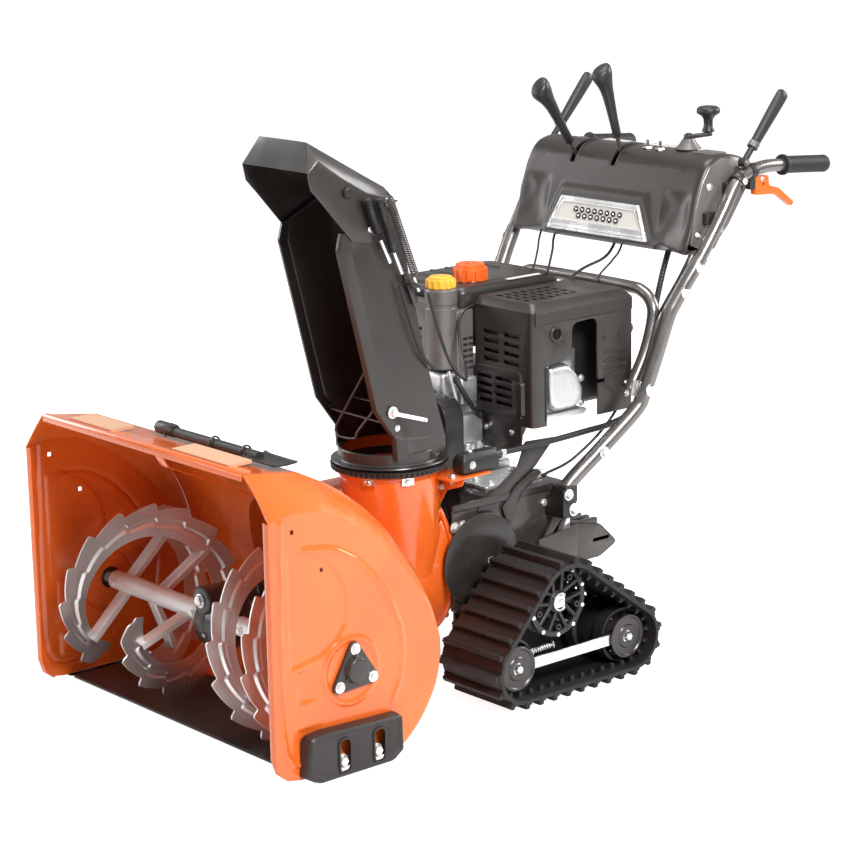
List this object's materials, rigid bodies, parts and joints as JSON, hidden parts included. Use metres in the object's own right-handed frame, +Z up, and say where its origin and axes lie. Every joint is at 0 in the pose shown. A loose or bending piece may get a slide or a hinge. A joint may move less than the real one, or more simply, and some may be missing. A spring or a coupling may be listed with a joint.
{
  "type": "snow blower",
  "caption": "Walk-behind two-stage snow blower on rubber tracks: wide auger housing, turning chute with tilting hood, engine, bent handles and control console.",
  "frame": {"origin": "on the ground, under the centre of the whole machine's bounding box", "axes": "+Z up; -Y is forward, the way the auger housing faces; +X is the machine's left side"},
  "size_m": [0.836, 1.55, 1.1634],
  "materials": {
    "orange_paint": "gloss powder coat, stone chips at the front edges",
    "black_paint": "satin black powder coat",
    "grey_paint": "satin dark grey powder coat",
    "bare_steel": "silver painted and plated steel",
    "cast_alloy": "die cast, slightly rough",
    "black_plastic": "moulded, fine texture",
    "grey_plastic": "moulded, fine texture",
    "orange_plastic": "moulded",
    "yellow_plastic": "moulded",
    "rubber": "matte black"
  },
  "bodies": {
    "chassis": {"auger_housing": "orange_paint", "side_plate_left": "orange_paint", "side_plate_right": "orange_paint", "fan_housing": "orange_paint", "skid_shoe_left": "black_paint", "skid_shoe_right": "black_paint", "bearing_flange_left": "black_paint", "bearing_flange_right": "black_paint", "auger_gearbox": "black_paint", "frame": "grey_paint", "track_frame_left": "bare_steel", "track_frame_right": "bare_steel", "handle_tube_left": "bare_steel", "handle_tube_right": "bare_steel", "cross_brace": "bare_steel", "engine_block": "cast_alloy", "valve_cover": "cast_alloy", "headlight": "cast_alloy", "chute_ring": "black_plastic", "chute_gear": "black_plastic", "engine_cover": "black_plastic", "fuel_tank": "black_plastic", "belt_cover": "black_plastic", "console": "black_plastic", "clean_out_tool": "black_plastic", "muffler_guard": "grey_plastic", "crank_cable": "rubber", "deflector_cable": "rubber", "drive_belt": "rubber", "track_belt_left": "rubber", "track_belt_right": "rubber"},
    "impeller_reel": {"impeller": "bare_steel", "impeller_shaft": "bare_steel"},
    "auger_reel": {"auger_left": "bare_steel", "auger_right": "bare_steel", "auger_shaft": "bare_steel"},
    "crank_pulley": {"engine_pulley": "bare_steel"},
    "chute": {"chute": "black_paint", "deflector_spring": "bare_steel"},
    "deflector": {"deflector": "black_paint"},
    "chute_crank": {"chute_crank": "black_plastic"},
    "crank_knob": {"crank_knob": "black_plastic"},
    "speed_lever": {"speed_lever": "black_plastic"},
    "deflector_lever": {"deflector_lever": "black_plastic"},
    "clutch_lever_left": {"clutch_lever_left": "black_plastic"},
    "clutch_lever_right": {"clutch_lever_right": "black_plastic"},
    "trigger_left": {"trigger_left": "orange_plastic"},
    "trigger_right": {"trigger_right": "orange_plastic"},
    "light_switch": {"light_switch": "bare_steel"},
    "heater_switch": {"heater_switch": "bare_steel"},
    "drive_sprocket_left": {"drive_sprocket_left": "black_plastic"},
    "drive_sprocket_right": {"drive_sprocket_right": "black_plastic"},
    "front_wheel_left": {"front_wheel_left": "black_plastic"},
    "front_wheel_right": {"front_wheel_right": "black_plastic"},
    "rear_wheel_left": {"rear_wheel_left": "black_plastic"},
    "rear_wheel_right": {"rear_wheel_right": "black_plastic"},
    "fuel_cap": {"fuel_cap": "orange_plastic"},
    "oil_cap": {"oil_cap": "yellow_plastic"},
    "choke_knob": {"choke_knob": "black_plastic"},
    "starter_handle": {"starter_handle": "black_plastic"}
  },
  "joints": [
    {"name": "impeller_spin", "type": "hinge", "parent": "chassis", "child": "impeller_reel", "pos_m": [0, -0.2722, 0.236], "axis": [0, 1, 0], "continuous": true},
    {"name": "auger_spin", "type": "hinge", "parent": "chassis", "child": "auger_reel", "pos_m": [0, -0.5952, 0.187], "axis": [1, 0, 0], "continuous": true},
    {"name": "crank_pulley_spin", "type": "hinge", "parent": "chassis", "child": "crank_pulley", "pos_m": [0, -0.1022, 0.475], "axis": [0, 1, 0], "continuous": true},
    {"name": "chute_turn", "type": "hinge", "parent": "chassis", "child": "chute", "pos_m": [0.075, -0.2432, 0.456], "axis": [0, 0, 1], "range_deg": [-95, 95], "deforming": ["deflector_cable"]},
    {"name": "deflector_tilt", "type": "hinge", "parent": "chute", "child": "deflector", "pos_m": [0.075, -0.3002, 0.985], "axis": [1, 0, 0], "range_deg": [-15, 35]},
    {"name": "chute_crank_turn", "type": "hinge", "parent": "chassis", "child": "chute_crank", "pos_m": [0.15, 0.5058, 1], "axis": [0, 0, 1], "range_deg": [-760, 760]},
    {"name": "crank_knob_spin", "type": "hinge", "parent": "chute_crank", "child": "crank_knob", "pos_m": [0.15, 0.5638, 1.0165], "axis": [0, 0, 1], "continuous": true},
    {"name": "speed_lever_rock", "type": "hinge", "parent": "chassis", "child": "speed_lever", "pos_m": [-0.12, 0.4758, 0.915], "axis": [1, 0, 0], "range_deg": [-45, 5]},
    {"name": "deflector_lever_rock", "type": "hinge", "parent": "chassis", "child": "deflector_lever", "pos_m": [0, 0.4738, 0.924], "axis": [1, 0, 0], "range_deg": [-10, 22]},
    {"name": "clutch_squeeze_left", "type": "hinge", "parent": "chassis", "child": "clutch_lever_left", "pos_m": [0.2835, 0.5268, 0.969], "axis": [1, 0, 0], "range_deg": [-34, 0], "stiffness_Nm_per_rad": 1.5, "springref_deg": 22.92},
    {"name": "clutch_squeeze_right", "type": "hinge", "parent": "chassis", "child": "clutch_lever_right", "pos_m": [-0.2835, 0.5268, 0.969], "axis": [1, 0, 0], "range_deg": [-34, 0], "stiffness_Nm_per_rad": 1.5, "springref_deg": 22.92},
    {"name": "trigger_pull_left", "type": "hinge", "parent": "chassis", "child": "trigger_left", "pos_m": [0.2835, 0.5758, 0.931], "axis": [1, 0, 0], "range_deg": [0, 12], "stiffness_Nm_per_rad": 0.6, "springref_deg": -17.19},
    {"name": "trigger_pull_right", "type": "hinge", "parent": "chassis", "child": "trigger_right", "pos_m": [-0.2835, 0.5758, 0.931], "axis": [1, 0, 0], "range_deg": [0, 12], "stiffness_Nm_per_rad": 0.6, "springref_deg": -17.19},
    {"name": "light_switch_flip", "type": "hinge", "parent": "chassis", "child": "light_switch", "pos_m": [0.056, 0.4828, 0.97], "axis": [1, 0, 0], "range_deg": [-12, 12]},
    {"name": "heater_switch_flip", "type": "hinge", "parent": "chassis", "child": "heater_switch", "pos_m": [0.092, 0.4828, 0.97], "axis": [1, 0, 0], "range_deg": [-12, 12]},
    {"name": "sprocket_spin_left", "type": "hinge", "parent": "chassis", "child": "drive_sprocket_left", "pos_m": [0.29, -0.0522, 0.184], "axis": [1, 0, 0], "continuous": true},
    {"name": "front_wheel_spin_left", "type": "hinge", "parent": "chassis", "child": "front_wheel_left", "pos_m": [0.29, -0.1722, 0.078], "axis": [1, 0, 0], "continuous": true},
    {"name": "rear_wheel_spin_left", "type": "hinge", "parent": "chassis", "child": "rear_wheel_left", "pos_m": [0.29, 0.1198, 0.078], "axis": [1, 0, 0], "continuous": true},
    {"name": "sprocket_spin_right", "type": "hinge", "parent": "chassis", "child": "drive_sprocket_right", "pos_m": [-0.29, -0.0522, 0.184], "axis": [1, 0, 0], "continuous": true},
    {"name": "front_wheel_spin_right", "type": "hinge", "parent": "chassis", "child": "front_wheel_right", "pos_m": [-0.29, -0.1722, 0.078], "axis": [1, 0, 0], "continuous": true},
    {"name": "rear_wheel_spin_right", "type": "hinge", "parent": "chassis", "child": "rear_wheel_right", "pos_m": [-0.29, 0.1198, 0.078], "axis": [1, 0, 0], "continuous": true},
    {"name": "fuel_cap_turn", "type": "hinge", "parent": "chassis", "child": "fuel_cap", "pos_m": [-0.04, 0.0728, 0.7484], "axis": [0, 0, 1], "range_deg": [0, 100]},
    {"name": "oil_cap_turn", "type": "hinge", "parent": "chassis", "child": "oil_cap", "pos_m": [0, -0.0402, 0.7524], "axis": [0, 0, 1], "range_deg": [0, 180]},
    {"name": "choke_pull", "type": "slide", "parent": "chassis", "child": "choke_knob", "axis": [0, 1, 0], "range_m": [0, 0.015]},
    {"name": "starter_pull", "type": "slide", "parent": "chassis", "child": "starter_handle", "axis": [0, 1, 0], "range_m": [0, 0.5], "stiffness_N_per_m": 20, "springref_m": -0.2}
  ],
  "couplings": [
    {"joint": "auger_spin", "follows": "impeller_spin", "ratio": 0.1},
    {"joint": "crank_pulley_spin", "follows": "impeller_spin", "ratio": 2.5312},
    {"joint": "chute_crank_turn", "follows": "chute_turn", "ratio": 8},
    {"joint": "deflector_lever_rock", "follows": "deflector_tilt", "ratio": 0.6},
    {"joint": "front_wheel_spin_left", "follows": "sprocket_spin_left", "ratio": 1.3036},
    {"joint": "rear_wheel_spin_left", "follows": "sprocket_spin_left", "ratio": 1.3036},
    {"joint": "front_wheel_spin_right", "follows": "sprocket_spin_right", "ratio": 1.3036},
    {"joint": "rear_wheel_spin_right", "follows": "sprocket_spin_right", "ratio": 1.3036}
  ]
}
